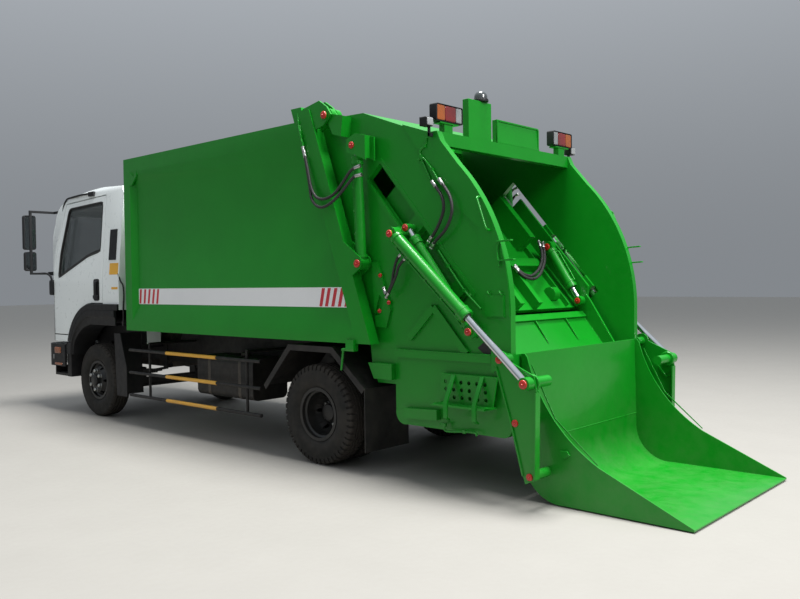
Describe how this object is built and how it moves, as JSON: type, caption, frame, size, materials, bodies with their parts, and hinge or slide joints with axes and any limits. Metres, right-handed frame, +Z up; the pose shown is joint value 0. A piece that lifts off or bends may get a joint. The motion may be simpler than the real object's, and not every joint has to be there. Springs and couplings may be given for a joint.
{
  "type": "rear-loading garbage compactor truck",
  "caption": "Cab-over truck with a compaction body, a tailgate hopper with a sliding packer and sweep blade, and a loading bucket that lowers to the ground",
  "frame": {"origin": "middle of the overall box on the ground", "axes": "+X to the vehicle's left, +Y to the rear, +Z up"},
  "size_m": [2.66, 8.38, 3.0721],
  "materials": {
    "body_green": "two-pack green enamel, smooth gloss",
    "cab_white": "white automotive enamel",
    "chassis_black": "black chassis paint, dusty",
    "rim_paint": "dark grey wheel paint",
    "tyre_rubber": "black tyre rubber",
    "clear_glass": "tinted safety glass",
    "chromed_rod": "hard-chromed piston rod",
    "dark_plastic": "black textured plastic",
    "seat_trim": "grey trim and seat cloth",
    "lamp_lens": "moulded lamp lens",
    "engine_iron": "cast iron"
  },
  "bodies": {
    "chassis": {"chassis_frame": "chassis_black", "front_axle": "chassis_black", "rear_axle": "chassis_black", "engine_block": "engine_iron", "side_tanks": "chassis_black", "side_guards": "chassis_black", "rear_fenders": "chassis_black", "front_bumper": "cab_white", "cab_steps": "dark_plastic", "load_body": "body_green"},
    "cab": {"cab_shell": "cab_white", "cab_glass": "clear_glass", "grille": "dark_plastic", "headlamps": "lamp_lens", "arch_flares": "dark_plastic", "cab_interior": "dark_plastic", "cab_seats": "seat_trim", "mirrors": "dark_plastic"},
    "ejector": {"ejector_panel": "body_green"},
    "tailgate": {"tailgate_shell": "body_green", "tailgate_steps": "body_green", "tailgate_roof_fittings": "body_green", "rear_lamps": "lamp_lens"},
    "bucket": {"bucket": "body_green"},
    "carriage": {"packer_carriage": "body_green"},
    "blade": {"sweep_blade": "body_green"},
    "knuckle_left": {"knuckle_left": "engine_iron"},
    "wheel_front_left": {"rim_front_left": "rim_paint", "tyre_front_left": "tyre_rubber"},
    "wheels_rear_left": {"rims_rear_left": "rim_paint", "tyres_rear_left": "tyre_rubber"},
    "door_left": {"door_left": "cab_white", "door_glass_left": "clear_glass"},
    "knuckle_right": {"knuckle_right": "engine_iron"},
    "wheel_front_right": {"rim_front_right": "rim_paint", "tyre_front_right": "tyre_rubber"},
    "wheels_rear_right": {"rims_rear_right": "rim_paint", "tyres_rear_right": "tyre_rubber"},
    "door_right": {"door_right": "cab_white", "door_glass_right": "clear_glass"},
    "lift_barrels": {"lift_barrels": "body_green"},
    "lift_rods": {"lift_rods": "chromed_rod"},
    "bucket_barrels": {"bucket_barrels": "body_green"},
    "bucket_rods": {"bucket_rods": "chromed_rod"},
    "carriage_barrels": {"carriage_barrels": "body_green"},
    "carriage_rods": {"carriage_rods": "chromed_rod"},
    "blade_barrels": {"blade_barrels": "body_green"},
    "blade_rods": {"blade_rods": "chromed_rod"}
  },
  "joints": [
    {"name": "steer_left", "type": "hinge", "parent": "chassis", "child": "knuckle_left", "pos_m": [0.745, -3.01, 0.43], "axis": [0, 0, 1], "range_deg": [-36, 36]},
    {"name": "spin_front_left", "type": "hinge", "parent": "knuckle_left", "child": "wheel_front_left", "pos_m": [0.861, -3.01, 0.43], "axis": [1, 0, 0], "continuous": true},
    {"name": "spin_rear_left", "type": "hinge", "parent": "chassis", "child": "wheels_rear_left", "pos_m": [0.8125, 0.99, 0.43], "axis": [1, 0, 0], "continuous": true},
    {"name": "door_left_swing", "type": "hinge", "parent": "cab", "child": "door_left", "pos_m": [1.03, -3.906, 1.5], "axis": [0, 0, -1], "range_deg": [0, 68]},
    {"name": "steer_right", "type": "hinge", "parent": "chassis", "child": "knuckle_right", "pos_m": [-0.745, -3.01, 0.43], "axis": [0, 0, 1], "range_deg": [-36, 36]},
    {"name": "spin_front_right", "type": "hinge", "parent": "knuckle_right", "child": "wheel_front_right", "pos_m": [-0.861, -3.01, 0.43], "axis": [1, 0, 0], "continuous": true},
    {"name": "spin_rear_right", "type": "hinge", "parent": "chassis", "child": "wheels_rear_right", "pos_m": [-0.8125, 0.99, 0.43], "axis": [1, 0, 0], "continuous": true},
    {"name": "door_right_swing", "type": "hinge", "parent": "cab", "child": "door_right", "pos_m": [-1.03, -3.906, 1.5], "axis": [0, 0, 1], "range_deg": [0, 68]},
    {"name": "cab_tilt", "type": "hinge", "parent": "chassis", "child": "cab", "pos_m": [0, -4.07, 0.862], "axis": [1, 0, 0], "range_deg": [0, 45]},
    {"name": "ejector_slide", "type": "slide", "parent": "chassis", "child": "ejector", "axis": [0, 1, 0], "range_m": [0, 2.65]},
    {"name": "tailgate_lift", "type": "hinge", "parent": "chassis", "child": "tailgate", "pos_m": [0, 1.194, 2.933], "axis": [1, 0, 0], "range_deg": [0, 85]},
    {"name": "lift_cylinder_swing", "type": "hinge", "parent": "chassis", "child": "lift_barrels", "pos_m": [0, 1.562, 1.701], "axis": [1, 0, 0], "range_deg": [-2, 2]},
    {"name": "lift_cylinder_stroke", "type": "slide", "parent": "lift_barrels", "child": "lift_rods", "axis": [0, -0.0444, 0.999], "range_m": [0, 0.6068]},
    {"name": "bucket_lift", "type": "hinge", "parent": "tailgate", "child": "bucket", "pos_m": [0, 2.92, 1.006], "axis": [1, 0, 0], "range_deg": [0, 105]},
    {"name": "bucket_cylinder_swing", "type": "hinge", "parent": "tailgate", "child": "bucket_barrels", "pos_m": [0, 1.979, 1.917], "axis": [1, 0, 0], "range_deg": [-1, 11.19]},
    {"name": "bucket_cylinder_stroke", "type": "slide", "parent": "bucket_barrels", "child": "bucket_rods", "axis": [0, 0.746, -0.666], "range_m": [-0.4045, 0]},
    {"name": "carriage_slide", "type": "slide", "parent": "tailgate", "child": "carriage", "axis": [0, -0.6531, 0.7572], "range_m": [0, 0.56]},
    {"name": "carriage_cylinder_swing", "type": "hinge", "parent": "tailgate", "child": "carriage_barrels", "pos_m": [0, 2.631, 1.187], "axis": [1, 0, 0], "range_deg": [-1, 2.5]},
    {"name": "carriage_cylinder_stroke", "type": "slide", "parent": "carriage_barrels", "child": "carriage_rods", "axis": [0, -0.613, 0.7901], "range_m": [0, 0.5795]},
    {"name": "blade_sweep", "type": "hinge", "parent": "carriage", "child": "blade", "pos_m": [0, 2.44, 1.2], "axis": [-1, 0, 0], "range_deg": [0, 90]},
    {"name": "blade_cylinder_swing", "type": "hinge", "parent": "carriage", "child": "blade_barrels", "pos_m": [0, 2.16, 1.852], "axis": [1, 0, 0], "range_deg": [-4, 4.75]},
    {"name": "blade_cylinder_stroke", "type": "slide", "parent": "blade_barrels", "child": "blade_rods", "axis": [0, 0.5334, -0.8459], "range_m": [0, 0.2526]}
  ],
  "couplings": [
    {"joint": "steer_right", "follows": "steer_left", "ratio": 1},
    {"joint": "lift_cylinder_swing", "follows": "tailgate_lift", "ratio": -0.006326},
    {"joint": "lift_cylinder_stroke", "follows": "tailgate_lift", "m_per_rad": 0.39551},
    {"joint": "bucket_cylinder_swing", "follows": "bucket_lift", "ratio": 0.092277},
    {"joint": "bucket_cylinder_stroke", "follows": "bucket_lift", "m_per_rad": -0.20984},
    {"joint": "carriage_cylinder_swing", "follows": "carriage_slide", "rad_per_m": 0.033667},
    {"joint": "carriage_cylinder_stroke", "follows": "carriage_slide", "ratio": 0.99909},
    {"joint": "blade_cylinder_swing", "follows": "blade_sweep", "ratio": 0.008326},
    {"joint": "blade_cylinder_stroke", "follows": "blade_sweep", "m_per_rad": 0.14806}
  ]
}
